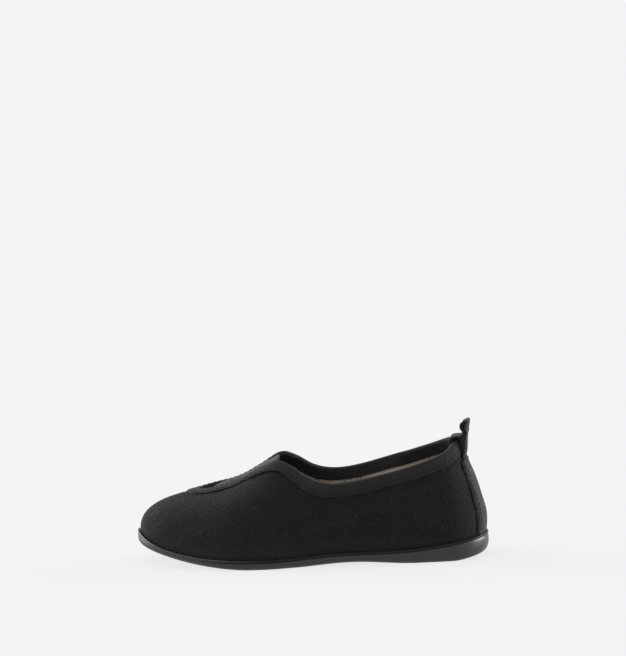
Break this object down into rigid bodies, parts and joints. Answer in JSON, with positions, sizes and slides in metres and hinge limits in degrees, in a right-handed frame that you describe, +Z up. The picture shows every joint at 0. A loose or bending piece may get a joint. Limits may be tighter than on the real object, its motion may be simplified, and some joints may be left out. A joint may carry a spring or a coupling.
{
  "type": "slip-on canvas slipper",
  "caption": "Child's left canvas ballet slipper: bound topline, elastic gore in the vamp, backstay, heel pull loop and moulded rubber sole.",
  "frame": {"origin": "middle of the sole's footprint, on the ground", "axes": "+X towards the heel and -X towards the toe, -Y towards the outer side of the foot, +Z up"},
  "size_m": [0.165, 0.0628, 0.0641],
  "materials": {
    "sole_rubber": "satin moulded",
    "filler_foam": "closed-cell, matt",
    "fibre_board": "pressed fibre, matt",
    "cushion_foam": "open-cell, matt",
    "lining_cloth": "cream plain weave with a small dark print",
    "canvas": "black coarse plain weave",
    "stiffener_sheet": "stiffened felt, matt",
    "binding_tape": "black ribbed tape",
    "elastic_webbing": "black ribbed elastic",
    "loop_tape": "black woven tape",
    "thread": "black sewing thread"
  },
  "bodies": {
    "shoe": {"outsole": "sole_rubber", "heel_wedge": "filler_foam", "insole_board": "fibre_board", "footbed_foam": "cushion_foam", "sock_liner": "lining_cloth", "upper_canvas": "canvas", "upper_lining": "lining_cloth", "heel_counter": "stiffener_sheet", "toe_puff": "stiffener_sheet", "topline_binding": "binding_tape", "elastic_gore": "elastic_webbing", "backstay": "canvas", "inner_seam_tape": "binding_tape", "pull_loop_outer_leg": "loop_tape", "pull_loop_inner_leg": "loop_tape", "binding_stitch": "thread", "gore_stitch": "thread", "backstay_stitch_outer": "thread", "backstay_stitch_inner": "thread", "loop_tack_stitch": "thread"},
    "loop": {"pull_loop": "loop_tape"}
  },
  "joints": [
    {"name": "pull_loop_bend", "type": "hinge", "parent": "shoe", "child": "loop", "pos_m": [0.07344, -0.00005, 0.05756], "axis": [0, 1, 0], "range_deg": [-35, 60], "stiffness_Nm_per_rad": 0.0005}
  ]
}
